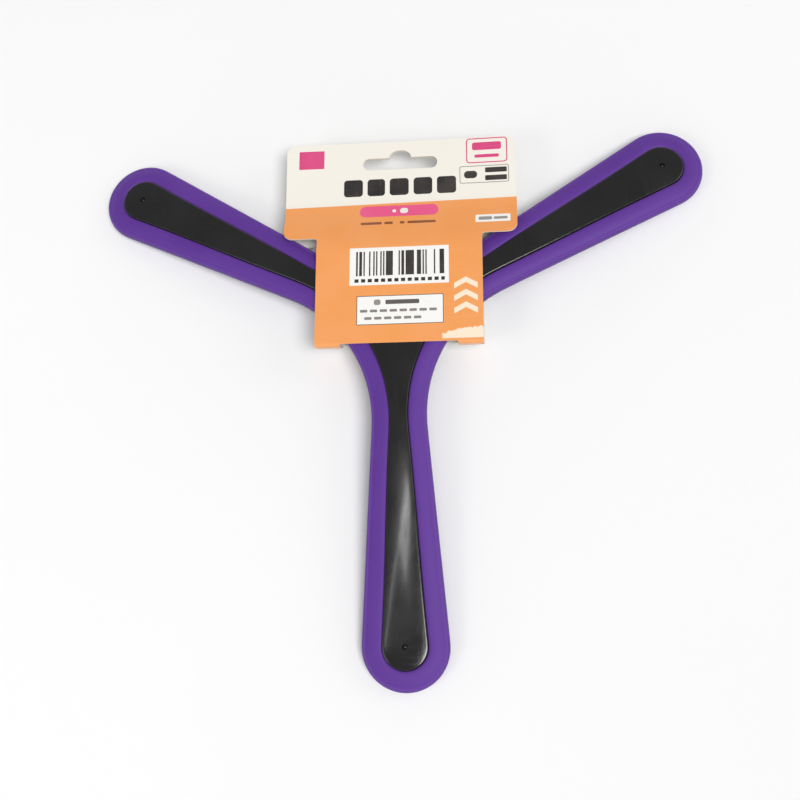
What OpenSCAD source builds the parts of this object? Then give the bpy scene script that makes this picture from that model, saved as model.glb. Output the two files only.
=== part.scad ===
// Three-armed toy boomerang with a rigid core, a soft bumper rim and a folded hang card.
// It lies face up on its three tips. The origin is on that plane, under the hub's centre.
// +Z is up, and one arm points along -Y. Millimetres.

/* [Blade outline] */
// Hub centre to the centre of each arm's round tip
arm_reach = 131; // [110:1:160]
// Radius of the round tip, outside the rim
tip_radius = 17.6; // [16:0.1:22]
// How fast each side of an arm closes in towards the hub, in degrees
arm_taper = 4.1; // [3:0.1:4.6]
// Radius of the hollow curve between two arms
bay_radius = 59; // [45:1:70]
// Width of the soft rim, seen from above
rim_width = 8.4; // [7:0.1:9]

/* [Blade section] */
// How far the hub stands above the tip centres, because the arms slope down
dish_rise = 9.5; // [4:0.5:12]
// Radius of the flat middle of the hub
hub_flat = 42; // [38:1:50]
// Thickness of the core in the middle of an arm
core_thick = 7.2; // [6.8:0.1:9]
// Thickness of the soft rim
rim_thick = 6.2; // [5.8:0.1:6.6]
// How far the flange of the core reaches into the rim
flange_reach = 3; // [2:0.5:4]

/* [Fixings] */
// Diameter of the three pins at the tips
tip_pin_d = 1.6; // [1.2:0.1:2.4]
// How deep the pin ends lie in the front panel
pin_recess = 0.6; // [0.3:0.1:1]
// Diameter of the press pegs inside
peg_d = 3; // [2.4:0.1:3.4]

/* [Hang card] */
// Width of the header
header_w = 99; // [90:0.2:110]
// Width of the panels over and under the hub
panel_w = 69.6; // [64:0.2:80]
// Top edge of the header, from the hub centre
header_top = 82.4; // [78:0.2:90]
// Lower edge of the header, from the hub centre
header_foot = 37; // [34:0.2:40]
// The bottom fold, from the hub centre
fold_y = -11; // [-14:0.5:-8]
// How far the folded edge leans in towards its foot
fold_lean = 2; // [0:0.5:3]
// Thickness of the board
board = 0.5; // [0.3:0.05:0.6]
// Sideways offset of the card on the hub
card_shift = 1; // [-3:0.1:3]
// Turn of the card on the hub, in degrees
card_turn = -1.2; // [-3:0.1:3]

/* [Hang slot] */
// Width of the slot, the usual one for a double or single peg
slot_w = 32; // [30:0.5:34]
// Height of the slot at its ends
slot_h = 5.4; // [5:0.1:6]
// Radius of the dome in the middle of the slot
dome_r = 4.7; // [4:0.1:5]
// Lower edge of the slot, from the hub centre
slot_foot = 69.4; // [66:0.2:71]

/* [Hidden] */
$fn = 96;
arm_turns = [0, 120, 240];
bay_turns = [60, 180, 300];

// The hub is flat, and the arms slope down from it
tip_end = arm_reach + tip_radius;
arm_slope = dish_rise / (arm_reach - hub_flat);

// The blade lies on the slightly flattened undersides of its tips
tip_flat = 0.4;
hub_height = arm_slope * (tip_end - hub_flat) - tip_flat;
column_h = 40;

// Levels through the thickness, measured up from the underside of the blade
back_face = 0.3;
flange_low = 2;
seam = 3.6;
flange_high = 5.2;

// Clearance of the fits, and how far the shapes that make up the outline run into each other
play = 0.1;
lap = 0.04;
hub_lap = 0.5;

// Insets from the outer edge
core_inset = rim_width + play;
flange_inset = rim_width - flange_reach;
hollow_inset = core_inset + 1.5;

// How far from the hub's centre the pegs stand, and the sizes of what holds them
peg_places = [9, 96];
boss_d = 6;
tip_boss_d = 5;
peg_play = 0.05;
peg_above_seam = 1.6;
pin_foot = 1.3;
rib_t = 1.2;
rib_places = [52, 66, 80, 112, 122];

// Levels of the card
front_low = hub_height + core_thick + 0.16;
back_top = 8.2;
bond_low = 13;
bond_top = 12.7;
front_bend = [30, 56];
back_bend = [46.5, 57];
fold_gap = 0.1;
arm_slot_w = 49;
header_r = 5;
foot_r = 4;
tape_y = [58.5, 66];
tape_w = 88;
tape_t = 0.2;

// Half the outline of one side of an arm: where it leaves the tip and where it meets the bay.
// Each side runs a little way into both circles, so that they join without a gap
function side_distance(inset) = tip_radius - inset - arm_reach * sin(arm_taper);
function bay_distance(inset) =
    (side_distance(inset) + bay_radius + inset) / sin(60 - arm_taper);
function tip_corner(inset, side) =
    let (r = tip_radius - inset - lap)
        [side * r * cos(arm_taper), r * sin(arm_taper) - arm_reach];
function bay_corner(inset, side) =
    let (r = bay_radius + inset - lap)
        [side * (bay_distance(inset) * sin(60) - r * cos(arm_taper)),
         -bay_distance(inset) * cos(60) - r * sin(arm_taper)];
function underside(r) = hub_height - max(0, arm_slope * (r - hub_flat));

// The three-armed outline, drawn inset from the outer edge
module blade_outline(inset) {
    difference() {
        union() {
            for (turn = arm_turns)
                rotate(turn) {
                    translate([0, -arm_reach]) rotate(90) circle(r = tip_radius - inset, $fn = 120);
                    polygon([tip_corner(inset, -1), tip_corner(inset, 1),
                             bay_corner(inset, 1), bay_corner(inset, -1)]);
                }
            circle(r = norm(bay_corner(inset, 1)) + hub_lap, $fn = 240);
        }
        for (turn = bay_turns)
            rotate(turn)
                translate([0, -bay_distance(inset)])
                    circle(r = bay_radius + inset, $fn = 240);
    }
}

// Upright column of the outline
module column(inset) {
    linear_extrude(height = column_h) blade_outline(inset);
}

// Everything below the dished surface that lies a level above the underside
module below(level) {
    translate([0, 0, hub_height + level - column_h])
        rotate(bay_turns[1] - 90)
            cylinder(r1 = hub_flat + column_h / arm_slope, r2 = hub_flat, h = column_h, $fn = 360);
}

module rod(d, foot, top) {
    translate([0, 0, foot]) cylinder(d = d, h = top - foot, $fn = 48);
}

// One rod in each arm, between two levels above the underside
module rods(reach, d, foot, top) {
    for (turn = arm_turns)
        rotate(turn)
            translate([0, -reach, 0])
                rod(d, underside(reach) + foot, underside(reach) + top);
}

module peg_rods(d, foot, top) {
    for (reach = peg_places) rods(reach, d, foot, top);
}

// Outline of the hollow, which leaves the bosses standing and, in one half, the ribs
module hollow(ribbed) {
    linear_extrude(height = column_h)
        difference() {
            blade_outline(hollow_inset);
            for (turn = arm_turns)
                rotate(turn) {
                    for (reach = peg_places)
                        translate([0, -reach]) circle(d = boss_d, $fn = 48);
                    translate([0, -arm_reach]) circle(d = tip_boss_d, $fn = 48);
                    if (ribbed)
                        for (reach = rib_places)
                            translate([-tip_radius, -reach - rib_t / 2])
                                square([2 * tip_radius, rib_t]);
                }
        }
}

// Everything outside the face of the core
module surround() {
    difference() {
        cylinder(r = 2 * arm_reach, h = column_h);
        column(core_inset);
    }
}

// Upper half of the rigid core
module front_panel() {
    color("#1c1a1b")
    difference() {
        intersection() {
            column(flange_inset);
            below(core_thick);
        }
        below(seam);
        difference() {
            surround();
            below(flange_high);
        }
        intersection() {
            hollow(false);
            below(flange_high);
        }
        peg_rods(peg_d + 2 * peg_play, seam - 1, seam + peg_above_seam + 0.3);
        rods(arm_reach, tip_pin_d + 2 * peg_play, seam - 1, core_thick + 1);
    }
}

// Lower half of the rigid core, with its ribs and pegs
module back_panel() {
    color("#242223")
    difference() {
        union() {
            intersection() {
                column(flange_inset);
                below(seam);
            }
            peg_rods(peg_d, flange_low, seam + peg_above_seam);
        }
        below(back_face);
        intersection() {
            surround();
            below(flange_low);
        }
        difference() {
            hollow(true);
            below(flange_low);
        }
        rods(arm_reach, tip_pin_d + 2 * peg_play, pin_foot - 0.1, seam + 1);
    }
}

// Soft bumper all round, gripping the flange of the core
module soft_rim() {
    color("#5b2f93")
    difference() {
        intersection() {
            column(0);
            below(rim_thick);
        }
        below(0);
        column(rim_width);
        difference() {
            intersection() {
                column(flange_inset - play);
                below(flange_high + play);
            }
            below(flange_low - play);
        }
    }
}

// Three pins that hold the two panels together at the tips
module tip_pins() {
    color("#0e0d0e")
    rods(arm_reach, tip_pin_d, pin_foot, core_thick - pin_recess);
}

// The slot that a shop peg goes through
module hang_slot() {
    end_r = slot_h / 2;
    for (side = [-1, 1])
        translate([side * (slot_w / 2 - end_r), slot_foot + end_r]) circle(r = end_r);
    translate([end_r - slot_w / 2, slot_foot]) square([slot_w - slot_h, slot_h]);
    translate([0, slot_foot + slot_h - 1.3]) circle(r = dome_r);
}

module rounded_box(w, foot, top, r) {
    translate([-w / 2 + r, foot]) square([w - 2 * r, top - foot]);
    translate([-w / 2, foot + r]) square([w, top - foot - 2 * r]);
    for (x = [r - w / 2, w / 2 - r])
        for (y = [foot + r, top - r])
            translate([x, y]) circle(r = r, $fn = 48);
}

// Flat outline of one half of the card, from a lower edge up
module card_outline(foot) {
    difference() {
        union() {
            rounded_box(header_w, header_foot, header_top, foot_r);
            translate([-panel_w / 2, foot])
                square([panel_w, header_foot + header_r - foot]);
        }
        hang_slot();
    }
}

// Shape drawn as a side view and carried across the whole width of the card
module side_view(points) {
    rotate([90, 0, 90])
        translate([0, 0, -header_w])
            linear_extrude(height = 2 * header_w) polygon(points);
}

// A board whose side view steps from one level to another between two bends
module bent_board(foot, near_z, far_z, bend) {
    intersection() {
        linear_extrude(height = column_h) card_outline(foot);
        side_view([[foot - 1, near_z], [bend[0], near_z], [bend[1], far_z],
                   [header_top + 1, far_z], [header_top + 1, far_z + board],
                   [bend[1], far_z + board], [bend[0], near_z + board],
                   [foot - 1, near_z + board]]);
    }
}

module on_hub() {
    rotate([0, 0, card_turn]) translate([card_shift, 0, 0]) children();
}

// Printed front of the card: it opens about the fold
module card_front() {
    color("#f5a562") on_hub() bent_board(fold_y, front_low, bond_low, front_bend);
}

// Two webs of board that go round the edge of the hub, with the arm between them
module card_spine() {
    web = (panel_w - arm_slot_w) / 2;
    foot = fold_y + fold_lean;
    top_z = front_low - fold_gap;
    color("#f0a060")
    on_hub()
        intersection() {
            side_view([[foot, back_top], [foot + board, back_top],
                       [fold_y + board, top_z], [fold_y, top_z]]);
            for (x = [-panel_w / 2, panel_w / 2 - web])
                translate([x, fold_y - board, 0]) cube([web, fold_lean + 3 * board, column_h]);
        }
}

// Plain back of the card
module card_back() {
    color("#e9e4da")
    on_hub()
        bent_board(fold_y + fold_lean, back_top - board, bond_top - board, back_bend);
}

// Double-sided tape that closes the header
module header_tape() {
    color("#d9d6cf")
    on_hub()
        translate([-tape_w / 2, tape_y[0], bond_top])
            cube([tape_w, tape_y[1] - tape_y[0], tape_t]);
}

front_panel();
back_panel();
soft_rim();
tip_pins();
card_front();
card_spine();
card_back();
header_tape();
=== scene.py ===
import math

import bmesh
import bpy
from bpy.props import FloatProperty, FloatVectorProperty, PointerProperty
from mathutils import Matrix, Vector
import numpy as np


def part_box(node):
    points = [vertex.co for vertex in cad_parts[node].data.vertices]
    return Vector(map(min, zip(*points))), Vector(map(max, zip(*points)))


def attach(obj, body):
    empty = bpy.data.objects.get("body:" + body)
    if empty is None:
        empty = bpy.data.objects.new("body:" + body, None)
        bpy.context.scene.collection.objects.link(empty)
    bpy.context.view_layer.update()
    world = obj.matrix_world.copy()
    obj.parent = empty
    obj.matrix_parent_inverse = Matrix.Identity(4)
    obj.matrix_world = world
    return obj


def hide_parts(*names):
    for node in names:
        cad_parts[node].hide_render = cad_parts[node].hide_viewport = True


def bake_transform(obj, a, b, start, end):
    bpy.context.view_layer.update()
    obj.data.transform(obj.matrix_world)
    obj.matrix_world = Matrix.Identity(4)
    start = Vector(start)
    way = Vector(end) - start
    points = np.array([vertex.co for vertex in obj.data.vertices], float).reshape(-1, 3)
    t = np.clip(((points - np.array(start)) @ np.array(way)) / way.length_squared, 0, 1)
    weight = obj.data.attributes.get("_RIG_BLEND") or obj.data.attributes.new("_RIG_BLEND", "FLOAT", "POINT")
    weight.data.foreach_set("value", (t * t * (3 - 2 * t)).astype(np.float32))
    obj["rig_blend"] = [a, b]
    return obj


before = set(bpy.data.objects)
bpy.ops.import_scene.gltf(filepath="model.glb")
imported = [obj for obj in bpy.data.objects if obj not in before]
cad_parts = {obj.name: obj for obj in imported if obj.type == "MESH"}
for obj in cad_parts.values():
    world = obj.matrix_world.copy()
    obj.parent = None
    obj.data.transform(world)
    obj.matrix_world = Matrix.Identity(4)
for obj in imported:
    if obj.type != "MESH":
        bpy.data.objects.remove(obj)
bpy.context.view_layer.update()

bl_info = {
    "name": "Boomerang on its Hang Card",
    "version": (1, 0),
    "blender": (4, 5, 0),
    "location": "3D View > Sidebar > Boomerang",
    "description": "Builds a three-armed boomerang with a soft rim, held in a folded hang card",
    "category": "Add Mesh",
}

MM = 0.001
RIM_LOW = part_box("soft_rim")[0]
FACE_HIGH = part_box("front_panel")[1]
FRONT_LOW, FRONT_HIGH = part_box("card_front")
BACK_LOW, BACK_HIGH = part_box("card_back")
PIN_LOW, PIN_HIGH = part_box("tip_pins")


def length(name, value_mm, words):
    return FloatProperty(name=name, description=words, default=value_mm * MM, subtype="DISTANCE")


def angle(name, degrees, words):
    return FloatProperty(name=name, description=words, default=math.radians(degrees), subtype="ANGLE")


def power(name, value, words):
    return FloatProperty(name=name, description=words, default=value, min=0)


def spot(name, value, words):
    return FloatVectorProperty(name=name, description=words, default=value, subtype="TRANSLATION")


def tint(name, value, words):
    return FloatVectorProperty(
        name=name, description=words, default=value, size=3, min=0, max=1, subtype="COLOR"
    )


class BladeSizes(bpy.types.PropertyGroup):
    """Outline and section of the blade"""

    tip_radius: length("Tip radius", 17.6, "Radius of the round end of an arm")
    arm_taper: angle("Arm taper", 4.1, "How fast each side of an arm closes in towards the hub")
    bay_radius: length("Bay radius", 59, "Radius of the hollow curve between two arms")
    rim_width: length("Rim width", 8.4, "Width of the soft rim")
    waist_ease: length("Waist ease", 0.8, "How much wider the core is where an arm is narrowest")
    hub_flat: length("Hub flat", 42, "Radius of the middle, where the arms start to slope down")
    dish_rise: length("Dish", 9.5, "How far the hub stands over the middles of the tips")
    core_thick: length("Core thickness", 7.2, "Thickness of the core at the hub")
    crown_radius: length("Crown radius", 60, "Radius of the rounded face across an arm")
    crown_rise: length("Crown rise", 0.62, "Most that the face rises over its own edge")
    recess_width: length("Recess width", 2.3, "Width of the recess over each pin")


class CardSizes(bpy.types.PropertyGroup):
    """Outline and folds of the hang card"""

    header_w: length("Header width", 99, "Width of the header")
    panel_w: length("Panel width", 69.6, "Width of the panels over and under the hub")
    header_top: length("Header top", 82.4, "Top edge of the header, from the hub's centre")
    header_foot: length("Header foot", 37, "Lower edge of the header, from the hub's centre")
    header_round: length("Header corner", 4, "Radius of the header's corners")
    fold_y: length("Fold", -11, "The bottom fold, from the hub's centre")
    fold_lean: length("Fold lean", 2, "How far the folded edge leans in towards its foot")
    fold_radius: length("Fold radius", 1.2, "Outer radius of the folded edges")
    board: length("Board", 0.5, "Thickness of the board")
    arm_slot_w: length("Arm slot", 49, "Width of the opening that the arm comes out of")
    slot_w: length("Hang slot width", 32, "Width of the hang slot")
    slot_h: length("Hang slot height", 5.4, "Height of the hang slot at its ends")
    slot_foot: length("Hang slot foot", 69.4, "Lower edge of the hang slot, from the hub's centre")
    dome_r: length("Dome radius", 4.7, "Radius of the dome in the hang slot")
    ink_edge: length("Colour change", 53.6, "Where the header's pale part meets the coloured part")
    shift: length("Shift", 1, "Sideways offset of the card on the hub")
    turn: angle("Turn", -1.2, "Turn of the card on the hub")


class Finishes(bpy.types.PropertyGroup):
    """Colours of the pieces"""

    rim: tint("Rim", (0.098, 0.026, 0.272), "Soft rim")
    # lighter rim colour: painted highlight on the shoulder and inner edge, and also the colour of worn marks
    rim_worn_and_highlight: tint("Rim, light", (0.150, 0.052, 0.360), "Rubbed parts of the rim")
    core: tint("Core", (0.0085, 0.0075, 0.0078), "Glossy core")
    back: tint("Back", (0.014, 0.013, 0.013), "Satin back of the core")
    orange: tint("Card, warm", (0.890, 0.345, 0.098), "Lower part of the card")
    cream: tint("Card, pale", (0.885, 0.850, 0.765), "Header of the card")
    pink: tint("Card, accent", (0.70, 0.060, 0.215), "Accent print on the card")
    ink: tint("Card, dark", (0.020, 0.017, 0.017), "Dark print on the card")
    board: tint("Board", (0.80, 0.77, 0.71), "Unprinted board")


class Studio(bpy.types.PropertyGroup):
    """Camera and lamps"""

    eye: spot("Camera place", (0.045, -0.142, 0.436), "Where the camera stands")
    aim: spot("Camera aim", (0.000, -0.032, 0.009), "What the camera looks at")
    lens: FloatProperty(
        name="Lens",
        description="Focal length of the camera, in millimetres",
        default=48.5,
        min=10,
        max=200,
    )
    roll: angle("Roll", -24.1, "Turn of the camera about its line of sight")
    key_power: power("Key lamp", 1.9, "Power of the main lamp, in watts")
    sun_power: power("Overhead light", 1.95, "Strength of the broad light that keeps the floor even")


# ---------------------------------------------------------------- finishes


def wire(tree, value, socket):
    if isinstance(value, bpy.types.NodeSocket):
        tree.links.new(value, socket)
    else:
        socket.default_value = value


def calc(tree, operation, *values):
    """A Math node on numbers or sockets"""
    node = tree.nodes.new("ShaderNodeMath")
    node.operation = operation
    for value, socket in zip(values, node.inputs):
        wire(tree, value, socket)
    return node.outputs[0]


def vector(tree, operation, *values):
    """A Vector Math node on vectors or sockets"""
    node = tree.nodes.new("ShaderNodeVectorMath")
    node.operation = operation
    for value, socket in zip(values, node.inputs):
        wire(tree, value, socket)
    return node.outputs["Value"] if operation == "LENGTH" else node.outputs[0]


def between(tree, value, low, high, to_low=0.0, to_high=1.0):
    """A smooth step from one value to another"""
    node = tree.nodes.new("ShaderNodeMapRange")
    node.interpolation_type = "SMOOTHSTEP"
    for given, name in (
        (value, "Value"),
        (low, "From Min"),
        (high, "From Max"),
        (to_low, "To Min"),
        (to_high, "To Max"),
    ):
        wire(tree, given, node.inputs[name])
    return node.outputs[0]


def blend(tree, share, first, second):
    """A colour between two colours"""
    node = tree.nodes.new("ShaderNodeMix")
    node.data_type = "RGBA"
    wire(tree, share, node.inputs[0])
    wire(tree, (*first, 1) if isinstance(first, tuple) else first, node.inputs[6])
    wire(tree, (*second, 1) if isinstance(second, tuple) else second, node.inputs[7])
    return node.outputs[2]


def noise(tree, place, scale, detail=2.0, stretch=None):
    """Smooth noise from 0 to 1; scale is in cycles a metre"""
    if stretch:
        place = vector(tree, "MULTIPLY", place, stretch)
    node = tree.nodes.new("ShaderNodeTexNoise")
    wire(tree, place, node.inputs["Vector"])
    wire(tree, scale, node.inputs["Scale"])
    node.inputs["Detail"].default_value = detail
    return node.outputs[0]


def split(tree, value):
    """The three parts of a vector"""
    node = tree.nodes.new("ShaderNodeSeparateXYZ")
    wire(tree, value, node.inputs[0])
    return node.outputs


def object_place(tree):
    return tree.nodes.new("ShaderNodeTexCoord").outputs["Object"]


def attribute(tree, name, output="Fac"):
    node = tree.nodes.new("ShaderNodeAttribute")
    node.attribute_name = name
    return node.outputs[output]


def new_group(name, inputs, outputs):
    """An empty shader node group, with its input and output nodes"""
    tree = bpy.data.node_groups.new(name, "ShaderNodeTree")
    for label, kind, default in inputs:
        socket = tree.interface.new_socket(label, in_out="INPUT", socket_type=f"NodeSocket{kind}")
        if default is not None:
            socket.default_value = default
    for label, kind in outputs:
        tree.interface.new_socket(label, in_out="OUTPUT", socket_type=f"NodeSocket{kind}")
    start = tree.nodes.new("NodeGroupInput")
    end = tree.nodes.new("NodeGroupOutput")
    return tree, start.outputs, end.inputs


def use_group(tree, name, **values):
    """Places a shared group in a material; spaces in input names are written as underscores"""
    node = tree.nodes.new("ShaderNodeGroup")
    node.node_tree = bpy.data.node_groups[name]
    for label, value in values.items():
        wire(tree, value, node.inputs[label.replace("_", " ")])
    return node.outputs


def make_surface_group():
    """Mould grain, mottling, fine scratches and dust, shared by every finish"""
    tree, given, out = new_group(
        "Handled surface",
        [
            ("Colour", "Color", (0.5, 0.5, 0.5, 1)),
            ("Worn Colour", "Color", (0.6, 0.6, 0.6, 1)),
            ("Mottle", "Float", 0.1),
            ("Roughness", "Float", 0.4),
            ("Roughness Spread", "Float", 0.1),
            ("Dust", "Float", 0.0),
            ("Grain Size", "Float", 0.3),
            ("Scratches", "Float", 0.0),
        ],
        [("Colour", "Color"), ("Roughness", "Float"), ("Height", "Float")],
    )
    place = object_place(tree)
    cloud = noise(tree, place, 55, 4.0)
    patch = between(tree, cloud, 0.35, 0.68)
    fine = noise(tree, place, calc(tree, "DIVIDE", 1 / MM, given["Grain Size"]))
    lines = between(tree, noise(tree, place, 70, 6.0, (1.0, 14.0, 14.0)), 0.60, 0.66)
    cross_lines = between(tree, noise(tree, place, 55, 6.0, (16.0, 1.2, 16.0)), 0.61, 0.66)
    scratch = calc(tree, "MULTIPLY", calc(tree, "MAXIMUM", lines, cross_lines), given["Scratches"])
    specks = between(tree, noise(tree, place, 900, 1.0), 0.71, 0.76)
    dust = calc(tree, "MULTIPLY", calc(tree, "MULTIPLY", specks, patch), given["Dust"])
    share = calc(tree, "MULTIPLY", patch, given["Mottle"])
    marks = calc(tree, "MAXIMUM", share, dust)
    marks = calc(tree, "MAXIMUM", marks, calc(tree, "MULTIPLY", scratch, 0.25))
    wire(tree, blend(tree, marks, given["Colour"], given["Worn Colour"]), out["Colour"])
    uneven = calc(tree, "MULTIPLY", calc(tree, "SUBTRACT", cloud, 0.5), given["Roughness Spread"])
    rough = calc(tree, "ADD", given["Roughness"], calc(tree, "MULTIPLY", uneven, 2.0))
    rough = calc(tree, "ADD", rough, calc(tree, "MULTIPLY", scratch, 0.15))
    wire(tree, calc(tree, "MINIMUM", calc(tree, "MAXIMUM", rough, 0.04), 1.0), out["Roughness"])
    wire(tree, calc(tree, "SUBTRACT", fine, calc(tree, "MULTIPLY", scratch, 0.4)), out["Height"])


# softness of a printed edge, in millimetres
PRINT_EDGE = 0.06


def make_box_group():
    """A printed box with round corners, in the card's own millimetres"""
    tree, given, out = new_group(
        "Printed box",
        [
            ("Place", "Vector", None),
            ("Centre", "Vector", None),
            ("Half Size", "Vector", None),
            ("Corner", "Float", 1.0),
        ],
        [("Mask", "Float")],
    )
    offset = vector(tree, "ABSOLUTE", vector(tree, "SUBTRACT", given["Place"], given["Centre"]))
    inner = vector(tree, "SUBTRACT", given["Half Size"], given["Corner"])
    past = vector(tree, "SUBTRACT", offset, inner)
    parts = split(tree, past)
    outside = tree.nodes.new("ShaderNodeCombineXYZ")
    for axis in range(2):
        wire(tree, calc(tree, "MAXIMUM", parts[axis], 0.0), outside.inputs[axis])
    reach = vector(tree, "LENGTH", outside.outputs[0])
    inside = calc(tree, "MINIMUM", calc(tree, "MAXIMUM", parts[0], parts[1]), 0.0)
    edge = calc(tree, "SUBTRACT", calc(tree, "ADD", reach, inside), given["Corner"])
    wire(tree, between(tree, edge, -PRINT_EDGE, PRINT_EDGE, 1.0, 0.0), out["Mask"])


def make_chevron_group():
    """A printed arrow head that points up, in the card's own millimetres"""
    tree, given, out = new_group(
        "Printed chevron",
        [
            ("Place", "Vector", None),
            ("Peak", "Vector", None),
            ("Half Width", "Float", 6.0),
            ("Slope", "Float", 0.6),
            ("Band", "Float", 2.0),
        ],
        [("Mask", "Float")],
    )
    parts = split(tree, vector(tree, "SUBTRACT", given["Place"], given["Peak"]))
    across = calc(tree, "ABSOLUTE", parts[0])
    drop = calc(tree, "ADD", parts[1], calc(tree, "MULTIPLY", across, given["Slope"]))
    below = between(tree, drop, -PRINT_EDGE, PRINT_EDGE, 1.0, 0.0)
    over = between(tree, calc(tree, "ADD", drop, given["Band"]), -PRINT_EDGE, PRINT_EDGE)
    past = calc(tree, "SUBTRACT", across, given["Half Width"])
    within = between(tree, past, -PRINT_EDGE, PRINT_EDGE, 1.0, 0.0)
    wire(tree, calc(tree, "MULTIPLY", calc(tree, "MULTIPLY", below, over), within), out["Mask"])


def new_material(name):
    material = bpy.data.materials.new(name)
    material.use_nodes = True
    tree = material.node_tree
    return material, tree, tree.nodes["Principled BSDF"].inputs


def new_bump(tree, height, bump_mm, strength):
    bump = tree.nodes.new("ShaderNodeBump")
    bump.inputs["Strength"].default_value = strength
    bump.inputs["Distance"].default_value = bump_mm * MM
    wire(tree, height, bump.inputs["Height"])
    return bump


def finish_shader(tree, shader, bump_mm, strength, **values):
    """Feeds a Handled surface into the shader, with its grain as a bump"""
    surface = use_group(tree, "Handled surface", **values)
    wire(tree, surface["Colour"], shader["Base Color"])
    wire(tree, surface["Roughness"], shader["Roughness"])
    bump = new_bump(tree, surface["Height"], bump_mm, strength)
    wire(tree, bump.outputs[0], shader["Normal"])
    return bump


def rubber_finish():
    """Soft matte rim: a painted highlight along its shoulder and its inner edge, and painted shade down its
    outer side
    """
    look = bpy.context.scene.finishes
    material, tree, shader = new_material("soft_rim_rubber")
    inset = attribute(tree, "inset")
    # painted highlight: a light line along the rim's shoulder, drawn in the lighter rim colour
    shoulder = calc(
        tree,
        "MULTIPLY",
        between(tree, inset, 0.7, 1.05),
        between(tree, inset, 1.25, 1.75, 1.0, 0.0),
    )
    # painted highlight along the rim's inner edge, next to the core
    inner_edge = between(tree, inset, 7.6, 8.3)
    shoulder = calc(tree, "MULTIPLY", shoulder, 0.45)
    painted_highlight = calc(tree, "MAXIMUM", shoulder, calc(tree, "MULTIPLY", inner_edge, 0.35))
    # painted shade: the outer side of the rim is darkened towards a dimmed copy of the rim colour
    painted_wall_shade = between(tree, inset, 0.1, 0.8, 0.45, 0.0)
    painted_shade_colour = tuple(0.45 * part for part in look.rim)
    base = blend(tree, painted_highlight, tuple(look.rim), tuple(look.rim_worn_and_highlight))
    base = blend(tree, painted_wall_shade, base, painted_shade_colour)
    finish_shader(
        tree, shader, 0.03, 0.35,
        Colour=base, Worn_Colour=(*look.rim_worn_and_highlight, 1), Mottle=0.16, Roughness=0.58,
        Roughness_Spread=0.12, Dust=0.22, Grain_Size=0.22, Scratches=0.12,
    )
    shader["Specular IOR Level"].default_value = 0.34
    shader["Sheen Weight"].default_value = 0.08
    shader["Sheen Roughness"].default_value = 0.5
    return material


def gloss_finish():
    """Moulded gloss black: slightly wavy, with fine rubbing and dust"""
    look = bpy.context.scene.finishes
    material, tree, shader = new_material("core_gloss_plastic")
    bump = finish_shader(
        tree, shader, 0.012, 0.25,
        Colour=(*look.core, 1), Worn_Colour=(0.045, 0.042, 0.042, 1), Mottle=0.10, Roughness=0.17,
        Roughness_Spread=0.10, Dust=0.35, Grain_Size=0.9, Scratches=0.35,
    )
    wave = new_bump(tree, noise(tree, object_place(tree), 170), 0.05, 0.5)
    wire(tree, wave.outputs[0], bump.inputs["Normal"])
    shader["Coat Weight"].default_value = 0.35
    shader["Coat Roughness"].default_value = 0.08
    return material


def plain_finish(name, colour, worn, rough, grain_mm, bump_mm, mottle=0.12, dust=0.1, scratches=0.1):
    """A plain moulded or board surface with its own grain"""
    material, tree, shader = new_material(name)
    finish_shader(
        tree, shader, bump_mm, 0.5,
        Colour=(*colour, 1), Worn_Colour=(*worn, 1), Mottle=mottle, Roughness=rough,
        Roughness_Spread=0.12, Dust=dust, Grain_Size=grain_mm, Scratches=scratches,
    )
    return material


BARS_PER_MM, BAR_GAPS = 1.7, 0.46
TICKS_PER_MM, TICK_GAPS = 0.36, 0.38
PALE_ORANGE = (0.95, 0.80, 0.62)


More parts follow.
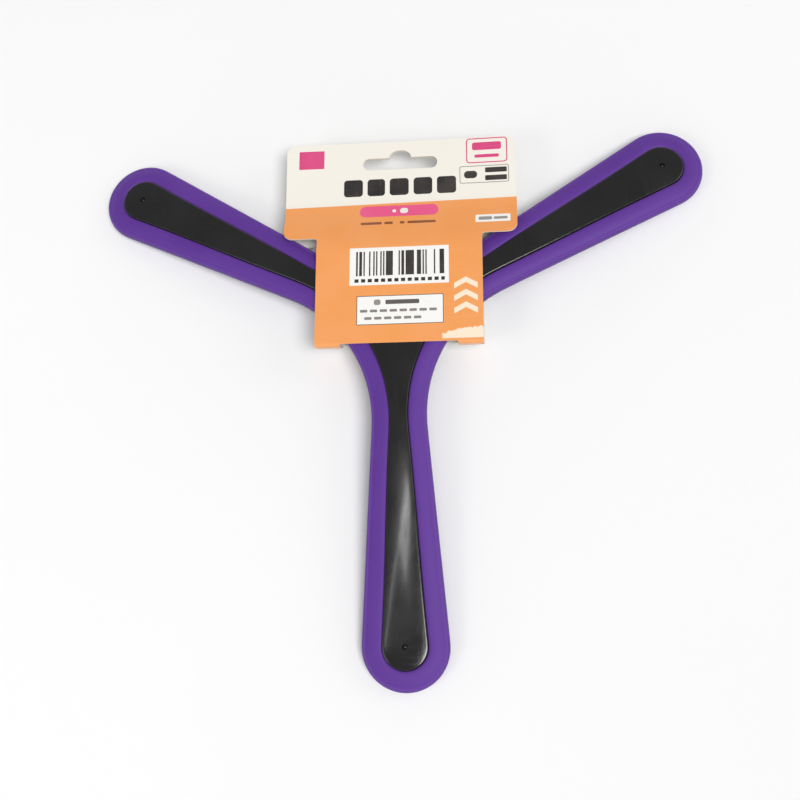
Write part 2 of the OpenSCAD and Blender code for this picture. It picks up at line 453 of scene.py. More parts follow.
def print_list(look):
    """Printed boxes from the bottom layer up: centre, half size, corner and colour, in millimetres"""
    cream, pink, ink = tuple(look.cream), tuple(look.pink), tuple(look.ink)
    white, grey, brown = (0.92, 0.91, 0.88), (0.30, 0.28, 0.26), (0.26, 0.085, 0.030)
    shapes = []

    def box(x, y, w, h, corner, colour):
        shapes.append((x, y, w / 2, h / 2, corner, colour))

    # Square mark in the top corner, left blank
    box(-38.6, 75.2, 11.0, 8.4, 0.15, pink)
    # Price box: an outline with two blank bars
    box(37.2, 76.2, 17.6, 11.6, 1.6, pink)
    box(37.2, 76.2, 16.6, 10.6, 1.1, cream)
    box(37.2, 78.2, 12.4, 3.6, 0.9, pink)
    box(37.2, 73.6, 10.4, 1.5, 0.5, pink)
    # Box with two halves under it
    box(36.0, 65.2, 21.0, 8.0, 0.8, grey)
    box(36.0, 65.2, 20.3, 7.3, 0.5, cream)
    box(41.0, 67.0, 9.2, 2.3, 0.4, ink)
    box(41.0, 63.4, 9.2, 2.3, 0.4, ink)
    box(30.2, 65.2, 5.6, 3.4, 1.6, ink)
    # Dark title, as five plain blocks
    for place, width in ((-20.2, 8.2), (-10.3, 7.6), (-0.4, 8.2), (9.8, 8.0), (19.9, 8.2)):
        box(place, 61.2, width, 7.8, 1.5, ink)
    # Accent pill with two pale dots
    box(-0.4, 49.7, 33.6, 5.5, 2.7, (0.83, 0.10, 0.26))
    box(-2.4, 49.7, 1.6, 1.6, 0.8, cream)
    box(1.8, 49.7, 3.4, 2.6, 1.2, cream)
    # Thin line of small bars under the pill
    for place, width in ((-12.0, 9.0), (-4.6, 3.6), (1.2, 2.0), (9.4, 12.0)):
        box(place, 43.6, width, 1.3, 0.5, brown)
    # Small label
    box(39.4, 44.0, 14.6, 3.8, 0.5, white)
    box(36.2, 44.0, 5.6, 1.7, 0.5, grey)
    box(42.6, 44.0, 5.8, 1.3, 0.4, grey)
    # Bar box, with its bars drawn apart from this list
    box(0.2, 23.2, 41.4, 16.6, 0.3, white)
    # Notice box with bars for lines
    box(0.6, 3.9, 36.0, 12.6, 0.3, (0.10, 0.09, 0.08))
    box(0.6, 3.9, 35.4, 12.0, 0.2, white)
    box(-8.8, 7.3, 2.8, 2.4, 0.9, (0.28, 0.26, 0.25))
    box(1.6, 7.3, 14.0, 1.9, 0.5, (0.10, 0.09, 0.09))
    for level, start, stop in ((3.6, -14.4, 14.6), (0.4, -12.6, 9.4)):
        for place in bar_places(start, stop):
            box(place, level, 3.1, 1.2, 0.4, (0.24, 0.22, 0.21))
    return shapes


def bar_places(start, stop, pitch=4.1):
    """Evenly spaced places for small bars"""
    count = int((stop - start) / pitch) + 1
    return [start + pitch * i for i in range(count)]


def box_mask(tree, place, x, y, half_w, half_h, corner):
    """Mask of one printed box on the card"""
    outputs = use_group(
        tree, "Printed box", Place=place, Centre=(x, y, 0), Half_Size=(half_w, half_h, 0), Corner=corner
    )
    return outputs["Mask"]


def print_finish():
    """Coated print of the card's outer face: two areas of colour with generic marks and no lettering"""
    scene = bpy.context.scene
    look, sizes = scene.finishes, scene.card_sizes
    material, tree, shader = new_material("card_print")
    place = attribute(tree, "card_place", "Vector")
    x, y = split(tree, place)[:2]
    # the pale header ends in a line that rises a little towards the right
    line = calc(tree, "ADD", sizes.ink_edge / MM, calc(tree, "MULTIPLY", x, 0.012))
    edge = calc(tree, "SUBTRACT", y, line)
    header = between(tree, edge, -PRINT_EDGE, PRINT_EDGE)
    colour = blend(tree, header, tuple(look.orange), tuple(look.cream))
    for x_mm, y_mm, half_w, half_h, corner, ink in print_list(look):
        colour = blend(tree, box_mask(tree, place, x_mm, y_mm, half_w, half_h, corner), colour, ink)
    # bars of mixed widths, over a row of even ticks
    cell = tree.nodes.new("ShaderNodeTexWhiteNoise")
    cell.noise_dimensions = "1D"
    wire(tree, calc(tree, "FLOOR", calc(tree, "MULTIPLY", x, BARS_PER_MM)), cell.inputs["W"])
    bars = calc(tree, "GREATER_THAN", cell.outputs["Value"], BAR_GAPS)
    along_tick = calc(tree, "FRACT", calc(tree, "MULTIPLY", x, TICKS_PER_MM))
    ticks = calc(tree, "GREATER_THAN", along_tick, TICK_GAPS)
    for stripes, field in (
        (bars, box_mask(tree, place, 0.6, 24.4, 18.4, 5.4, 0.1)),
        (ticks, box_mask(tree, place, 0.4, 16.9, 18.8, 0.75, 0.1)),
    ):
        colour = blend(tree, calc(tree, "MULTIPLY", stripes, field), colour, tuple(look.ink))
    for step in range(3):
        arrow = use_group(
            tree, "Printed chevron",
            Place=place, Peak=(27.8, 17.2 - 5.4 * step, 0), Half_Width=4.85, Slope=0.55, Band=2.4,
        )["Mask"]
        colour = blend(tree, arrow, colour, PALE_ORANGE)
    # ragged pale corner at the foot
    ragged = noise(tree, vector(tree, "MULTIPLY", place, (1.0, 0.0, 0.0)), 0.55, 3.0)
    crest = calc(tree, "ADD", calc(tree, "MULTIPLY", calc(tree, "SUBTRACT", ragged, 0.5), 3.6), -6.9)
    crest = calc(tree, "ADD", crest, calc(tree, "MULTIPLY", between(tree, x, 16.0, 30.0), 2.4))
    corner = calc(
        tree,
        "MULTIPLY",
        between(tree, calc(tree, "SUBTRACT", y, crest), -0.1, 0.1, 1.0, 0.0),
        between(tree, x, 17.5, 18.5),
    )
    corner = calc(tree, "MULTIPLY", corner, between(tree, y, -9.2, -9.0))
    colour = blend(tree, corner, colour, PALE_ORANGE)
    finish_shader(
        tree, shader, 0.02, 0.25,
        Colour=colour, Worn_Colour=(0.90, 0.82, 0.72, 1), Mottle=0.035, Roughness=0.42,
        Roughness_Spread=0.10, Dust=0.10, Grain_Size=0.5, Scratches=0.15,
    )
    shader["Specular IOR Level"].default_value = 0.4
    shader["Coat Weight"].default_value = 0.1
    shader["Coat Roughness"].default_value = 0.2
    return material


def floor_finish():
    """Pale matt backdrop with a very faint cloudiness"""
    material, tree, shader = new_material("studio_floor")
    cloud = noise(tree, object_place(tree), 6, 3.0)
    wire(tree, blend(tree, cloud, (0.90, 0.90, 0.90), (0.93, 0.93, 0.93)), shader["Base Color"])
    shader["Roughness"].default_value = 0.75
    shader["Specular IOR Level"].default_value = 0.2
    return material


def material_named(name, maker, *values, **options):
    """A finish that several pieces share is made once"""
    return bpy.data.materials.get(name) or maker(*values, **options)


def plain(name, *values, **options):
    return material_named(name, plain_finish, name, *values, **options)


# ---------------------------------------------------------------- blade geometry

TIP_STEPS, SIDE_STEPS, BAY_STEPS = 14, 18, 10
FILL_STEPS, HUB_STEPS = 6, 4
WELD = 2e-6
DISH_SOFTNESS = 16 * MM
# how far from the hub's centre the waist of an arm ends, and where its tip begins
WAIST_END, TIP_START = 55 * MM, 118 * MM


def smooth_step(value, low, high):
    share = min(max((value - low) / (high - low), 0), 1)
    return share * share * (3 - 2 * share)


def everything(bm):
    return bm.verts[:] + bm.edges[:] + bm.faces[:]


def swing(bm, geom, centre, angle, steps, merge=False, copies=False):
    """Turns geometry about an upright axis, as a swept surface or as copies"""
    return bmesh.ops.spin(
        bm, geom=geom, cent=centre, axis=(0, 0, 1), dvec=(0, 0, 0), angle=angle, steps=steps,
        use_merge=merge, use_normal_flip=False, use_duplicate=copies,
    )["geom_last"]


def mirror_half(bm):
    bmesh.ops.mirror(bm, geom=everything(bm), matrix=Matrix.Identity(4), merge_dist=WELD, axis="X")


def arm_reach(sizes):
    return -RIM_LOW.y - sizes.tip_radius


def underside(reach, sizes):
    """Height of the blade's underside: nearly flat at the hub, then sloping down the arms"""
    slope = sizes.dish_rise / (arm_reach(sizes) - sizes.hub_flat)
    past = reach - sizes.hub_flat
    fall = slope * 0.5 * (past + math.hypot(past, DISH_SOFTNESS))
    return FACE_HIGH.z - sizes.core_thick - fall


def bay_centre(sizes):
    """Centre of the hollow curve on the right of the arm that points along -Y"""
    side = sizes.tip_radius - arm_reach(sizes) * math.sin(sizes.arm_taper)
    away = (side + sizes.bay_radius) / math.sin(math.radians(60) - sizes.arm_taper)
    return away * Vector((math.sin(math.radians(60)), -math.cos(math.radians(60)), 0))


def inward(co, sizes):
    """Which way a point of the outline moves when the outline is drawn further in"""
    square = Vector((math.cos(sizes.arm_taper), math.sin(sizes.arm_taper), 0))
    along = Vector((-square.y, square.x, 0))
    tip = Vector((0, -arm_reach(sizes), 0))
    bay = bay_centre(sizes)
    flat = Vector((co.x, co.y, 0))
    if (flat - tip).dot(along) <= 0:
        return (tip - flat).normalized()
    if (flat - bay).dot(along) >= 0:
        return (flat - bay).normalized()
    return -square


def half_arm_edge(bm, sizes, inset):
    """Half of one arm's outline, as a chain of edges from the end of the tip to the middle of the bay"""
    radius = sizes.tip_radius - inset
    tip = Vector((0, -arm_reach(sizes), 0))
    bay = bay_centre(sizes)
    square = Vector((math.cos(sizes.arm_taper), math.sin(sizes.arm_taper), 0))
    end = bm.verts.new(tip + Vector((0, -radius, 0)))

    last = swing(bm, [end], tip, math.radians(90) + sizes.arm_taper, TIP_STEPS)
    end = next(item for item in last if isinstance(item, bmesh.types.BMVert))
    stop = bay - square * (sizes.bay_radius + inset)
    step = (stop - end.co) / SIDE_STEPS
    for _ in range(SIDE_STEPS):
        end = bmesh.ops.extrude_vert_indiv(bm, verts=[end])["verts"][0]
        bmesh.ops.translate(bm, vec=step, verts=[end])
    swing(bm, [end], bay, -(math.radians(30) + sizes.arm_taper), BAY_STEPS)
    return bm.edges[:]


def extend(bm, edges):
    """Extrudes a chain of edges; returns the new chain's vertices and edges"""
    made = bmesh.ops.extrude_edge_only(bm, edges=edges)["geom"]
    verts = {item for item in made if isinstance(item, bmesh.types.BMVert)}
    chain = [
        item for item in made if isinstance(item, bmesh.types.BMEdge) and set(item.verts) <= verts
    ]
    return verts, chain


def sweep(bm, sizes, section, mark):
    """Sweeps a section of (inset, level) points in millimetres along half an arm; returns the last chain"""
    chain = half_arm_edge(bm, sizes, section[0][0] * MM)
    for vert in bm.verts:
        vert.co.z = section[0][1] * MM
        vert[mark] = section[0][0]
    for before, after in zip(section, section[1:]):
        verts, chain = extend(bm, chain)
        for vert in verts:
            vert.co += inward(vert.co, sizes) * (after[0] - before[0]) * MM
            vert.co.z = after[1] * MM
            vert[mark] = after[0]
    for vert in bm.verts:
        ease = sizes.waist_ease * min(vert[mark] * MM / sizes.rim_width, 1)
        near_hub = 1 - smooth_step(vert.co.xy.length, WAIST_END, TIP_START)
        vert.co -= inward(vert.co, sizes) * ease * near_hub
    return chain


def fill_arm(bm, chain, crown):
    """Fills from a chain to the middle line of the arm and on to the hub's centre; crown lifts the middle"""
    ends = {vert for edge in chain for vert in edge.verts}
    level = next(iter(ends)).co.z
    last_y = max(vert.co.y for vert in ends)
    widest = next(vert.co.xy.length for vert in ends if vert.co.y == last_y)
    width_of = bm.verts.layers.float["half_width"]
    for vert in ends:
        vert[width_of] = vert.co.x
    for left in range(FILL_STEPS, 0, -1):
        verts, chain = extend(bm, chain)
        for vert in verts:
            vert.co.x *= (left - 1) / left
            vert.co.z = level + crown(vert[width_of] ** 2 - vert.co.x ** 2)
    chord = [
        edge
        for edge in bm.edges
        if edge.is_boundary
        and all(abs(v.co.y - last_y) < WELD and v.co.z >= level - WELD for v in edge.verts)
        and abs(edge.verts[0].co.x - edge.verts[1].co.x) > WELD
    ]
    for left in range(HUB_STEPS, 0, -1):
        verts, chord = extend(bm, chord)
        for vert in verts:
            vert.co.x *= (left - 1) / left
            vert.co.y *= (left - 1) / left
            vert.co.z = level + crown(widest ** 2 - vert.co.xy.length_squared)


def flat_fill(spare):
    """A fill with no crown"""
    return 0.0


def edges_at(bm, level):
    """The edges that lie on one level"""
    return [edge for edge in bm.edges if all(abs(vert.co.z - level) < WELD for vert in edge.verts)]


def three_arms(bm):
    """Turns copies of one arm's geometry to the other two arms"""
    swing(bm, everything(bm), (0, 0, 0), math.radians(240), 2, copies=True)


def turn_profile(bm, profile, steps=32):
    """Turns a profile of (radius, height) points into a closed round solid on the Z axis"""
    chain = [bm.verts.new((radius, 0, height)) for radius, height in profile]
    edges = [bm.edges.new(pair) for pair in zip(chain, chain[1:])]
    swing(bm, chain + edges, (0, 0, 0), math.radians(360), steps, merge=True)
    bmesh.ops.remove_doubles(bm, verts=bm.verts[:], dist=WELD)


def whole_blade(bm, sizes):
    """Mirrors the half arm, turns it to the three arms, closes it and dishes it"""
    mirror_half(bm)
    three_arms(bm)
    bmesh.ops.remove_doubles(bm, verts=bm.verts[:], dist=WELD)
    bmesh.ops.dissolve_degenerate(bm, edges=bm.edges[:], dist=WELD)
    for vert in bm.verts:
        vert.co.z = max(vert.co.z + underside(vert.co.xy.length, sizes), 0)
    bmesh.ops.recalc_face_normals(bm, faces=bm.faces[:])


def new_blade_mesh():
    bm = bmesh.new()
    bm.verts.layers.float.new("half_width")
    return bm, bm.verts.layers.float.new("inset")


# ---------------------------------------------------------------- shared making of pieces


def new_piece(name, bm, materials):
    """Turns a bmesh into an object in the scene"""
    mesh = bpy.data.meshes.new(name)
    for material in materials:
        mesh.materials.append(material)
    for face in bm.faces:
        face.smooth = True
    bm.to_mesh(mesh)
    bm.free()
    piece = bpy.data.objects.new(name, mesh)
    bpy.context.scene.collection.objects.link(piece)
    return piece


def subdivide(piece, levels):
    modifier = piece.modifiers.new("smooth", "SUBSURF")
    modifier.levels = modifier.render_levels = levels
    return piece


def settle(piece):
    """Applies a piece's modifiers to its mesh"""
    graph = bpy.context.evaluated_depsgraph_get()
    mesh = bpy.data.meshes.new_from_object(
        piece.evaluated_get(graph), preserve_all_data_layers=True, depsgraph=graph
    )
    piece.modifiers.clear()
    piece.data = mesh
    mesh.name = piece.name
    return piece


def require(piece, smallest):
    """Stops the script if a piece came out empty"""
    if len(piece.data.polygons) < smallest:
        raise RuntimeError(f"{piece.name} has only {len(piece.data.polygons)} faces")
    return piece


def hand_over(piece, body, slot, *nodes):
    """Ties a finished piece to its CAD body and hides the CAD nodes it stands for; the slot it is given is
    not used
    """
    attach(piece, body)
    if nodes:
        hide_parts(*nodes)
    return piece


class Maker:
    """Shared by the operators: each makes its part of the scene in make()"""

    bl_options = {"REGISTER", "UNDO"}

    def execute(self, context):
        self.make(context.scene)
        return {"FINISHED"}


# ---------------------------------------------------------------- the blade's pieces


class BOOMERANG_OT_rim(Maker, bpy.types.Operator):
    """Make the soft rim: one swept bumper with a shoulder near its outer edge"""

    bl_idname = "boomerang.rim"
    bl_label = "Soft Rim"

    # from the foot of the inner wall, under, round the outer wall, over the shoulder and back down
    section = [
        (8.40, 0.50), (8.25, 0.15), (7.70, 0.0), (5.0, 0.0), (2.4, 0.0), (1.35, 0.12), (0.62, 0.55),
        (0.16, 1.35), (0.0, 2.45), (0.03, 3.30), (0.20, 4.10), (0.52, 4.72), (0.86, 5.05), (1.16, 5.13),
        (1.42, 5.06), (1.75, 5.10), (2.30, 5.36), (3.30, 5.74), (4.60, 6.04), (6.10, 6.19), (7.30, 6.17),
        (7.95, 6.03), (8.28, 5.76), (8.40, 5.30), (8.40, 3.00), (8.40, 0.50),
    ]

    def make(self, scene):
        sizes = scene.blade_sizes
        bm, mark = new_blade_mesh()
        sweep(bm, sizes, self.section, mark)
        whole_blade(bm, sizes)
        piece = new_piece("soft_rim_bumper", bm, [material_named("soft_rim_rubber", rubber_finish)])
        settle(subdivide(piece, 1))
        hand_over(require(piece, 5000), "blade", "soft_rim", "soft_rim")


class BOOMERANG_OT_face(Maker, bpy.types.Operator):
    """Make the glossy face of the core: a crowned, three-armed moulding with a recess over each pin"""

    bl_idname = "boomerang.face"
    bl_label = "Core Face"

    section = [
        (5.40, 3.60), (5.40, 5.15), (5.45, 5.20), (8.45, 5.20), (8.50, 5.25), (8.50, 6.05), (8.50, 6.30),
        (8.58, 6.50), (8.78, 6.64), (9.05, 6.70), (9.30, 6.73),
    ]
    # recess over a pin: radius as a share of its width, and height over the face in millimetres
    lip = [
        (0.0, -1.1), (0.36, -1.1), (0.41, -0.9), (0.43, -0.3), (0.5, 0.0), (0.62, 0.2), (0.8, 1.5),
        (0.0, 1.5),
    ]

    def crown(self, sizes, spare):
        """Rise over the edge, from the half width squared less the distance from the middle squared"""
        return sizes.crown_rise * (1 - math.exp(-spare / (2 * sizes.crown_radius * sizes.crown_rise)))

    def make(self, scene):
        sizes = scene.blade_sizes
        bm, mark = new_blade_mesh()
        fill_arm(bm, sweep(bm, sizes, self.section, mark), lambda spare: self.crown(sizes, spare))
        fill_arm(bm, edges_at(bm, self.section[0][1] * MM), flat_fill)
        whole_blade(bm, sizes)
        piece = new_piece("core_face", bm, [material_named("core_gloss_plastic", gloss_finish)])
        settle(subdivide(piece, 1))
        self.cut_recesses(piece, sizes)
        hand_over(require(piece, 5000), "blade", "gloss_black", "front_panel")

    def cut_recesses(self, piece, sizes):
        """Cuts a small round recess with an eased lip over each pin, square to the sloping face"""
        reach = arm_reach(sizes)
        edge_level = self.section[-1][1] * MM
        half_width = sizes.tip_radius - self.section[-1][0] * MM
        face_z = underside(reach, sizes) + edge_level + self.crown(sizes, half_width ** 2)
        slope = math.atan(sizes.dish_rise / (reach - sizes.hub_flat))
        bm = bmesh.new()
        turn_profile(bm, [(radius * sizes.recess_width, level * MM) for radius, level in self.lip])
        bmesh.ops.transform(
            bm,
            matrix=Matrix.Translation((0, -reach, face_z)) @ Matrix.Rotation(slope, 4, "X"),
            verts=bm.verts[:],
        )
        three_arms(bm)
        bmesh.ops.recalc_face_normals(bm, faces=bm.faces[:])
        cutter = new_piece("recess_cutter", bm, [])
        modifier = piece.modifiers.new("recesses", "BOOLEAN")
        modifier.operation, modifier.solver, modifier.object = "DIFFERENCE", "EXACT", cutter
        settle(piece)
        bpy.data.objects.remove(cutter)
        piece.data.set_sharp_from_angle(angle=math.radians(32))


class BOOMERANG_OT_back(Maker, bpy.types.Operator):
    """Make the satin back of the core, with an eased edge all round"""

    bl_idname = "boomerang.back"
    bl_label = "Core Back"

    section = [
        (5.40, 3.58), (5.40, 2.05), (5.45, 2.00), (8.45, 2.00), (8.50, 1.95), (8.50, 0.80), (8.56, 0.55),
        (8.72, 0.38), (9.00, 0.31), (9.30, 0.30),
    ]

    def make(self, scene):
        sizes = scene.blade_sizes
        bm, mark = new_blade_mesh()
        fill_arm(bm, sweep(bm, sizes, self.section, mark), flat_fill)
        fill_arm(bm, edges_at(bm, self.section[0][1] * MM), flat_fill)
        whole_blade(bm, sizes)
        look = scene.finishes
        material = plain(
            "core_satin_plastic", tuple(look.back), (0.05, 0.047, 0.046),
            0.46, 0.25, 0.05, dust=0.25, scratches=0.4,
        )
        piece = settle(subdivide(new_piece("core_back", bm, [material]), 1))
        hand_over(require(piece, 5000), "blade", "satin_black", "back_panel")


class BOOMERANG_OT_pins(Maker, bpy.types.Operator):
    """Make the three domed pins at the tips"""

    bl_idname = "boomerang.pins"
    bl_label = "Tip Pins"

    # radius as a share of the pin's radius, and height as a share of the pin's length
    profile = [
        (0.0, 0.0), (0.9, 0.0), (1.0, 0.02), (1.0, 0.93), (0.94, 0.965), (0.72, 0.99), (0.4, 0.998),
        (0.0, 1.0),
    ]

    def make(self, scene):
        sizes = scene.blade_sizes
        reach = arm_reach(sizes)
        tall = PIN_HIGH.z - PIN_LOW.z
        radius = -PIN_LOW.y - reach
        bm = bmesh.new()
        turn_profile(bm, [(share * radius, PIN_LOW.z + level * tall) for share, level in self.profile], 24)
        bmesh.ops.translate(bm, vec=(0, -reach, 0), verts=bm.verts[:])
        three_arms(bm)
        bmesh.ops.recalc_face_normals(bm, faces=bm.faces[:])
        material = plain(
            "pin_plastic", (0.012, 0.011, 0.011), (0.06, 0.058, 0.055),
            0.2, 0.2, 0.01, dust=0.2,
        )
        piece = new_piece("tip_pin_heads", bm, [material])
        piece.data.set_sharp_from_angle(angle=math.radians(40))
        hand_over(require(piece, 200), "blade", "pin_black", "tip_pins")


# ---------------------------------------------------------------- the hang card

# where each board steps to the level of the header, and how far the header's sides curl up
FRONT_STEP, BACK_STEP = (30 * MM, 56 * MM), (46.5 * MM, 57 * MM)
CURL, CURL_RUN = 0.7 * MM, (50 * MM, 80 * MM)
CARD_PITCH, CARD_PITCH_ACROSS = 1.8 * MM, 3.5 * MM
# how much of a full half round a corner takes, so that two corners never meet
ROUND = 0.97
# how far the dome's centre lies under the top of the hang slot
DOME_SINK = 1.3 * MM


def round_corner(bm, x, y, radius, segments=6):
    """Rounds one corner of a flat outline"""
    corner = min(bm.verts, key=lambda vert: (vert.co - Vector((x, y, 0))).length)
    bmesh.ops.bevel(
        bm, geom=[corner], offset=radius, offset_type="OFFSET", segments=segments, profile=0.5,
        affect="VERTICES", clamp_overlap=False, material=-1,
    )


def flat_half_card(sizes, foot, web_foot):
    """Right half of the flat board, in two faces that meet at the middle of the hang slot"""
    bm = bmesh.new()
    half_panel, half_header = sizes.panel_w / 2, sizes.header_w / 2
    half_gap, half_slot = sizes.arm_slot_w / 2, sizes.slot_w / 2
    slot_middle = sizes.slot_foot + sizes.slot_h / 2
    slot_top = sizes.slot_foot + sizes.slot_h
    dome_top = slot_top - DOME_SINK + sizes.dome_r
    lower = [
        (0, foot), (half_gap, foot), (half_gap, web_foot), (half_panel, web_foot),
        (half_panel, sizes.header_foot), (half_header, sizes.header_foot), (half_header, slot_middle),
        (half_slot, slot_middle), (half_slot, sizes.slot_foot), (0, sizes.slot_foot),
    ]
    upper = [
        (half_slot, slot_middle), (half_header, slot_middle), (half_header, sizes.header_top),
        (0, sizes.header_top), (0, dome_top), (sizes.dome_r, dome_top), (sizes.dome_r, slot_top),
        (half_slot, slot_top),
    ]
    if foot == web_foot:
        lower = lower[:1] + lower[3:]
    for outline in (lower, upper):
        bm.faces.new([bm.verts.new((x, y, 0)) for x, y in outline])
    bmesh.ops.remove_doubles(bm, verts=bm.verts[:], dist=WELD)
    round_corner(bm, half_panel, sizes.header_foot, 1.5 * MM)
    round_corner(bm, half_header, sizes.header_foot, sizes.header_round)
    round_corner(bm, half_header, sizes.header_top, sizes.header_round)
    round_corner(bm, sizes.dome_r, dome_top, ROUND * sizes.dome_r, 10)
    round_corner(bm, sizes.dome_r, slot_top, 0.5 * MM, 3)
    round_corner(bm, half_slot, slot_top, ROUND * sizes.slot_h / 2)
    round_corner(bm, half_slot, sizes.slot_foot, ROUND * sizes.slot_h / 2)
    if foot != web_foot:
        round_corner(bm, half_gap, foot, 0.8 * MM, 4)
    return bm


def cut_across(bm, axis, places):
    """Cuts the flat board along evenly placed lines, so that it can bend"""
    normal = Vector((axis == 0, axis == 1, 0))
    for place in places:
        bmesh.ops.bisect_plane(
            bm, geom=everything(bm), dist=WELD, plane_co=normal * place, plane_no=normal
        )


def steps(start, stop, pitch):
    count = max(int(round((stop - start) / pitch)), 1)
    return [start + (stop - start) * i / count for i in range(1, count)]


def bent_card(name, bm, sizes, bend, outer_up, materials):
    """Mirrors the half board, bends it, sets it on the hub and gives it its thickness"""
    mirror_half(bm)
    bmesh.ops.remove_doubles(bm, verts=bm.verts[:], dist=WELD)
    bm.normal_update()
    for face in bm.faces:
        if (face.normal.z > 0) != outer_up:
            face.normal_flip()
    mark = bm.verts.layers.float_vector.new("card_place")
    for vert in bm.verts:
        x, run = vert.co.x, vert.co.y
        vert[mark] = (x / MM, run / MM, 0)
        y, z = bend(run)
        curl = CURL * (x / (sizes.header_w / 2)) ** 2 * smooth_step(y, *CURL_RUN)
        vert.co = (x, y, z + curl)
    bmesh.ops.transform(
        bm,
        matrix=Matrix.Rotation(sizes.turn, 4, "Z") @ Matrix.Translation((sizes.shift, 0, 0)),
        verts=bm.verts[:],
    )
    piece = new_piece(name, bm, materials)
    modifier = piece.modifiers.new("board", "SOLIDIFY")
    modifier.thickness, modifier.offset = sizes.board, -1
    modifier.use_even_offset = True
    modifier.material_offset, modifier.material_offset_rim = 1, 2
    settle(piece)
    piece.data.set_sharp_from_angle(angle=math.radians(35))
    return require(piece, 800)


def board_finishes(look):
    """Plain inner face and cut edge of the board"""
    inner = plain(
        "card_inside", tuple(look.board), (0.68, 0.64, 0.57), 0.82, 0.35, 0.05,
        mottle=0.15, dust=0.15, scratches=0.0,
    )
    edge = plain(
        "card_cut_edge", (0.84, 0.74, 0.61), (0.66, 0.57, 0.46), 0.9, 0.12, 0.06,
        mottle=0.5, dust=0.2, scratches=0.0,
    )
    return inner, edge


class BOOMERANG_OT_card_front(Maker, bpy.types.Operator):
    """Make the printed front of the card, with the two webs that fold down over the edge of the hub"""

    bl_idname = "boomerang.card_front"
    bl_label = "Card Front"

    def make(self, scene):
        sizes, look = scene.card_sizes, scene.finishes
        top, header = FRONT_HIGH.z, FRONT_LOW.z + sizes.board
        bottom, radius = BACK_LOW.z, sizes.fold_radius
        drop = top - bottom - 2 * radius
        lean = math.atan2(sizes.fold_lean, drop)
        first_turn = math.pi / 2 + lean
        arc_start = sizes.fold_y + radius
        wall_start = arc_start - radius * first_turn
        wall_stop = wall_start - drop / math.cos(lean)
        web_foot = wall_stop - radius * (math.pi - first_turn)
        foot = arc_start - 0.35 * MM

        def bend(run):
            """Place on the outer face for a length measured along the board"""
            if run >= arc_start:
                return run, top - (top - header) * smooth_step(run, *FRONT_STEP)
            turned = min((arc_start - run) / radius, first_turn) + max(wall_stop - run, 0) / radius
            walled = min(max(wall_start - run, 0), wall_start - wall_stop)
            y = arc_start - radius * math.sin(turned) + walled * math.sin(lean)
            return y, top - radius * (1 - math.cos(turned)) - walled * math.cos(lean)

        bm = flat_half_card(sizes, foot, web_foot)
        cut_across(bm, 1, steps(web_foot, wall_stop, 0.25 * MM) + [wall_stop])
        cut_across(bm, 1, steps(wall_stop, wall_start, 1.5 * MM) + [wall_start])
        cut_across(bm, 1, steps(wall_start, arc_start, 0.2 * MM) + [arc_start])
        cut_across(bm, 1, steps(arc_start, arc_start + 3 * MM, 0.5 * MM) + [arc_start + 3 * MM])
        cut_across(bm, 1, steps(arc_start + 3 * MM, sizes.header_top, CARD_PITCH))
        cut_across(bm, 0, steps(0, sizes.header_w / 2, CARD_PITCH_ACROSS))
        print_face = material_named("card_print", print_finish)
        materials = [print_face, *board_finishes(look)]
        piece = bent_card("card_printed_front", bm, sizes, bend, True, materials)
        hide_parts("card_front", "card_spine")
        spread = 1.6 * MM
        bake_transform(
            piece, "blade", "card_flap",
            start=(0, sizes.fold_y, top - spread), end=(0, sizes.fold_y + spread, top),
        )


class BOOMERANG_OT_card_back(Maker, bpy.types.Operator):
    """Make the plain back of the card, and give the tape in the header its finish"""

    bl_idname = "boomerang.card_back"
    bl_label = "Card Back"

    def make(self, scene):
        sizes, look = scene.card_sizes, scene.finishes
        low, header = BACK_LOW.z, BACK_HIGH.z - sizes.board

        def bend(run):
            return run, low + (header - low) * smooth_step(run, *BACK_STEP)

        foot = sizes.fold_y + sizes.fold_lean + sizes.fold_radius
        bm = flat_half_card(sizes, foot, foot)
        cut_across(bm, 1, steps(foot, sizes.header_top, CARD_PITCH))
        cut_across(bm, 0, steps(0, sizes.header_w / 2, CARD_PITCH_ACROSS))
        outside = plain(
            "card_outside_plain", (0.80, 0.77, 0.70), (0.66, 0.62, 0.55),
            0.55, 0.4, 0.03, mottle=0.12,
        )
        piece = bent_card("card_plain_back", bm, sizes, bend, False, [outside, *board_finishes(look)])
        hand_over(piece, "blade", "plain_card", "card_back")
        tape = plain(
            "tape_film", (0.70, 0.67, 0.60), (0.80, 0.78, 0.72), 0.35, 0.6, 0.02,
        )
        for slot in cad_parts["header_tape"].material_slots:
            slot.material = tape


# ---------------------------------------------------------------- the stage


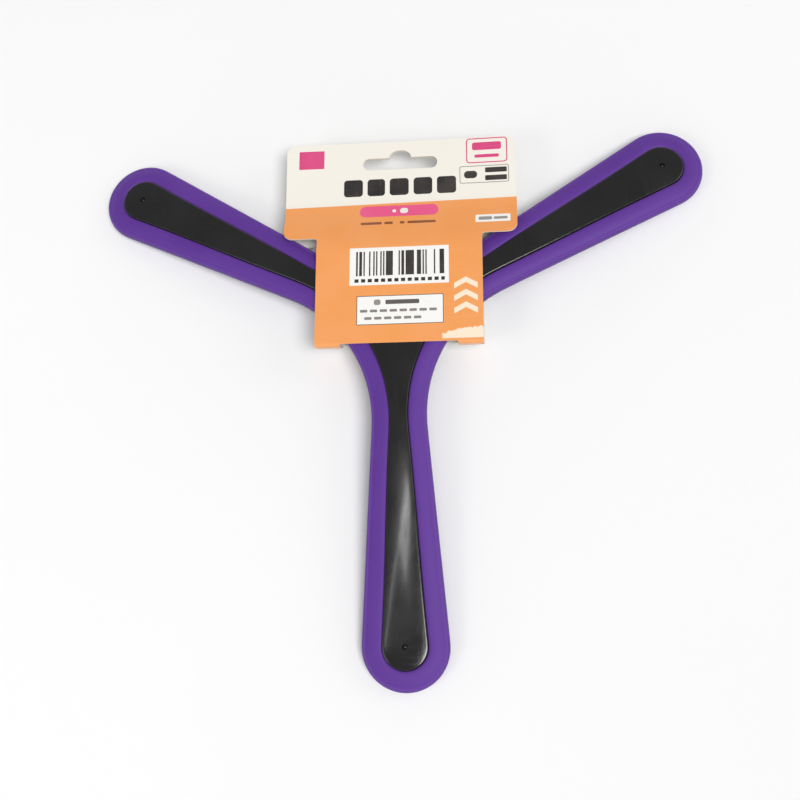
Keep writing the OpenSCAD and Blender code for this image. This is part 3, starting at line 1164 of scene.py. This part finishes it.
class BOOMERANG_OT_studio(Maker, bpy.types.Operator):
    """Make the floor, the lamps and the camera"""

    bl_idname = "boomerang.studio"
    bl_label = "Studio"

    floor_reach = 20
    sun_from, sun_spread = (0.36, -0.34, 0.90), math.radians(28)
    # the surroundings fade between two heights, given as the sine of the angle over the horizon
    fade, horizon_glow, overhead_glow = (0.12, 0.5), 0.96, 0.28
    # name, place, target, width, height, share of the key lamp's power
    lamps = (
        ("key_softbox", (-0.75, -0.50, 0.75), (0.0, -0.03, 0), 0.50, 0.40, 1.0),
        ("side_softbox", (0.85, 0.20, 0.55), (0.0, -0.02, 0), 0.45, 0.45, 0.45),
        ("sheen_lamp", (-0.035, -0.125, 0.72), (0.0, -0.09, 0), 0.06, 0.12, 0.075),
        ("strip_lamp", (-0.130, -0.170, 0.72), (0.0, -0.09, 0), 0.008, 0.36, 0.045),
    )

    def make(self, scene):
        studio = scene.studio
        bm = bmesh.new()
        bmesh.ops.create_grid(bm, x_segments=2, y_segments=2, size=self.floor_reach)
        floor = new_piece("floor", bm, [material_named("studio_floor", floor_finish)])
        for name, place, target, width, height, share in self.lamps:
            self.add_lamp(name, Vector(place), Vector(target), width, height, share * studio.key_power)
        sun = bpy.data.lights.new("overhead_sun", "SUN")
        sun.energy, sun.angle = studio.sun_power, self.sun_spread
        self.place_lamp(sun, Vector(self.sun_from), Vector((0, 0, 0)))
        scene.world = self.new_world()
        scene.view_settings.view_transform = "Standard"
        self.add_camera(scene, studio)

    def new_world(self):
        """White surroundings, brighter towards the horizon, where the floor ends"""
        world = bpy.data.worlds.new("studio_world")
        world.use_nodes = True
        tree = world.node_tree
        height = split(tree, tree.nodes.new("ShaderNodeTexCoord").outputs["Generated"])[2]
        background = tree.nodes["Background"].inputs
        background["Color"].default_value = (1.0, 1.0, 1.0, 1)
        glow = between(tree, height, *self.fade, self.horizon_glow, self.overhead_glow)
        wire(tree, glow, background["Strength"])
        return world

    def add_lamp(self, name, place, target, width, height, power):
        lamp = bpy.data.lights.new(name, "AREA")
        lamp.shape, lamp.size, lamp.size_y, lamp.energy = "RECTANGLE", width, height, power
        self.place_lamp(lamp, place, target)

    def place_lamp(self, lamp, place, target):
        holder = bpy.data.objects.new(lamp.name, lamp)
        holder.location = place
        holder.rotation_euler = (target - place).to_track_quat("-Z", "Y").to_euler()
        bpy.context.scene.collection.objects.link(holder)

    def add_camera(self, scene, studio):
        """A camera over the object's front, rolled about its own line of sight"""
        eye, aim = Vector(studio.eye), Vector(studio.aim)
        camera = bpy.data.cameras.new("camera")
        camera.lens = studio.lens
        camera.clip_start = 0.01
        holder = bpy.data.objects.new("camera", camera)
        turned = (aim - eye).to_track_quat("-Z", "Y").to_matrix() @ Matrix.Rotation(studio.roll, 3, "Z")
        holder.matrix_world = Matrix.Translation(eye) @ turned.to_4x4()
        scene.collection.objects.link(holder)
        scene.camera = holder


class BOOMERANG_PT_panel(bpy.types.Panel):
    """Sidebar panel that lists the sizes, the colours and the pieces"""

    bl_label = "Boomerang"
    bl_idname = "BOOMERANG_PT_panel"
    bl_space_type = "VIEW_3D"
    bl_region_type = "UI"
    bl_category = "Boomerang"

    def draw(self, context):
        for title, group in (
            ("Blade", context.scene.blade_sizes),
            ("Card", context.scene.card_sizes),
            ("Finishes", context.scene.finishes),
            ("Studio", context.scene.studio),
        ):
            box = self.layout.box()
            box.label(text=title)
            for name in group.__annotations__:
                box.prop(group, name)
        for operator in OPERATORS:
            self.layout.operator(operator.bl_idname)


GROUPS = {
    "blade_sizes": BladeSizes,
    "card_sizes": CardSizes,
    "finishes": Finishes,
    "studio": Studio,
}
OPERATORS = (
    BOOMERANG_OT_studio,
    BOOMERANG_OT_rim,
    BOOMERANG_OT_face,
    BOOMERANG_OT_back,
    BOOMERANG_OT_pins,
    BOOMERANG_OT_card_back,
    BOOMERANG_OT_card_front,
)
CLASSES = (*GROUPS.values(), *OPERATORS, BOOMERANG_PT_panel)


def register():
    for item in CLASSES:
        bpy.utils.register_class(item)
    for name, group in GROUPS.items():
        setattr(bpy.types.Scene, name, PointerProperty(type=group))


def unregister():
    for name in GROUPS:
        delattr(bpy.types.Scene, name)
    for item in reversed(CLASSES):
        bpy.utils.unregister_class(item)


def main():
    register()
    make_surface_group()
    make_box_group()
    make_chevron_group()
    for operator in OPERATORS:
        category, name = operator.bl_idname.split(".")
        getattr(getattr(bpy.ops, category), name)()


if __name__ == "__main__":
    main()
